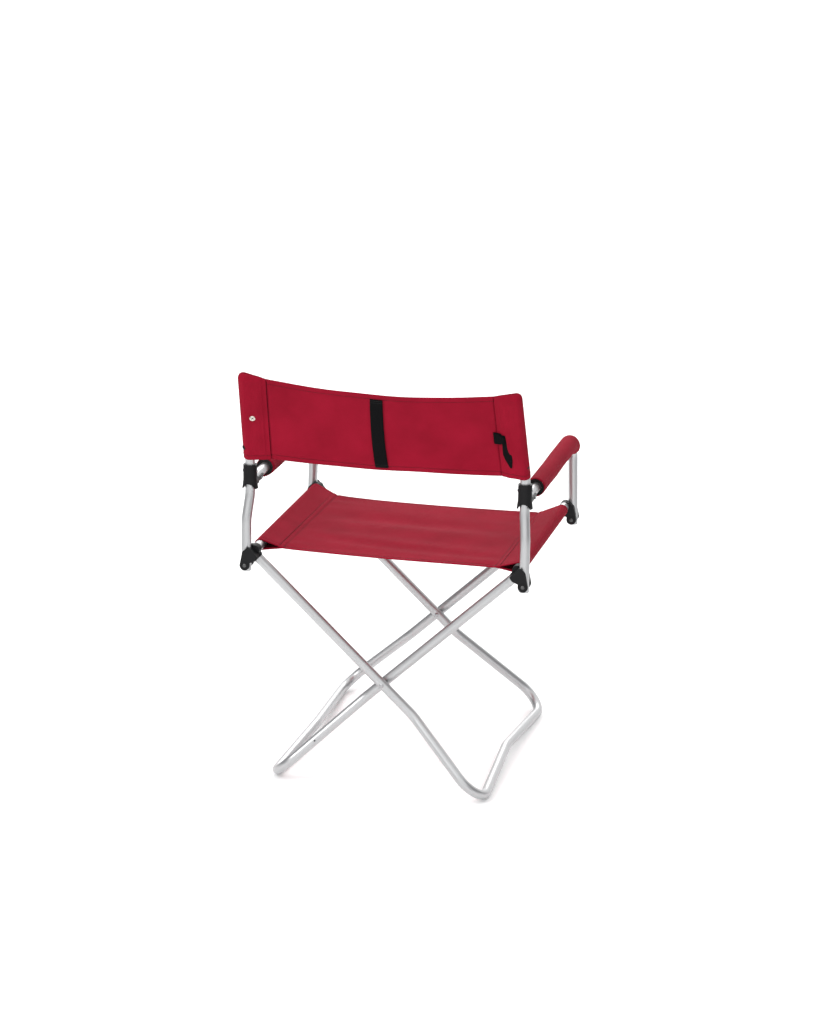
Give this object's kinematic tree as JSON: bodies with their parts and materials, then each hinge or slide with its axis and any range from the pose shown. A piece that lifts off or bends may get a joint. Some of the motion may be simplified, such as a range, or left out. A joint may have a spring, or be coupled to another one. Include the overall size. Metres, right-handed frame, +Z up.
{
  "type": "folding director chair",
  "caption": "Folding director chair with crossed silver tube legs, padded armrests and a red cloth seat and back.",
  "frame": {"origin": "floor level under the middle of the unfolded chair", "axes": "+Z up, +Y towards the back of the chair, -Y the way the sitter faces, +X towards the sitter's right"},
  "size_m": [0.5716, 0.5992, 0.8142],
  "materials": {
    "anodised_tube": "satin anodised",
    "black_nylon": "moulded, lightly textured",
    "rivet_steel": "zinc plated",
    "snap_metal": "nickel plated",
    "red_cloth": "plain woven polyester",
    "black_webbing": "woven strap",
    "black_foam": "closed-cell foam, matt"
  },
  "bodies": {
    "frame_left": {"leg_frame_left": "anodised_tube", "hub_rear_left": "black_nylon", "hub_front_left": "black_nylon", "seat_rail_left": "anodised_tube", "pivot_rivets": "rivet_steel", "pivot_spacers": "black_nylon", "hinge_rivets_left": "rivet_steel", "seat_sleeve_left": "red_cloth", "seat_screws_left": "black_nylon", "seat_panel": "red_cloth"},
    "frame_right": {"leg_frame_right": "anodised_tube", "hub_rear_right": "black_nylon", "hub_front_right": "black_nylon", "seat_rail_right": "anodised_tube", "hinge_rivets_right": "rivet_steel", "seat_sleeve_right": "red_cloth", "seat_screws_right": "black_nylon"},
    "side_left": {"arm_tube_left": "anodised_tube", "back_post_left": "anodised_tube", "arm_clamp_left": "black_nylon", "clamp_rivets_left": "rivet_steel", "post_cap_left": "black_nylon", "arm_foam_left": "black_foam", "arm_cover_left": "red_cloth", "back_sleeve_left": "red_cloth", "sleeve_button_left": "black_nylon", "snap_stud": "snap_metal", "back_panel": "red_cloth", "back_webbing": "black_webbing"},
    "side_right": {"arm_tube_right": "anodised_tube", "back_post_right": "anodised_tube", "arm_clamp_right": "black_nylon", "clamp_rivets_right": "rivet_steel", "post_cap_right": "black_nylon", "arm_foam_right": "black_foam", "arm_cover_right": "red_cloth", "back_sleeve_right": "red_cloth", "sleeve_button_right": "black_nylon", "closure_tab": "black_webbing", "closure_strap": "black_webbing", "snap_socket": "snap_metal"}
  },
  "joints": [
    {"name": "frame_fold", "type": "hinge", "parent": "frame_left", "child": "frame_right", "pos_m": [0, 0, 0.2075], "axis": [0, 1, 0], "range_deg": [0, 82], "deforming": ["seat_panel", "back_panel", "back_webbing"]},
    {"name": "left_side_fold", "type": "hinge", "parent": "frame_left", "child": "side_left", "pos_m": [0.2715, 0, 0.43], "axis": [0, 1, 0], "range_deg": [0, 41]},
    {"name": "right_side_fold", "type": "hinge", "parent": "frame_right", "child": "side_right", "pos_m": [-0.2715, 0, 0.43], "axis": [0, 1, 0], "range_deg": [-41, 0]}
  ],
  "couplings": [
    {"joint": "left_side_fold", "follows": "frame_fold", "ratio": 0.5},
    {"joint": "right_side_fold", "follows": "frame_fold", "ratio": -0.5}
  ]
}
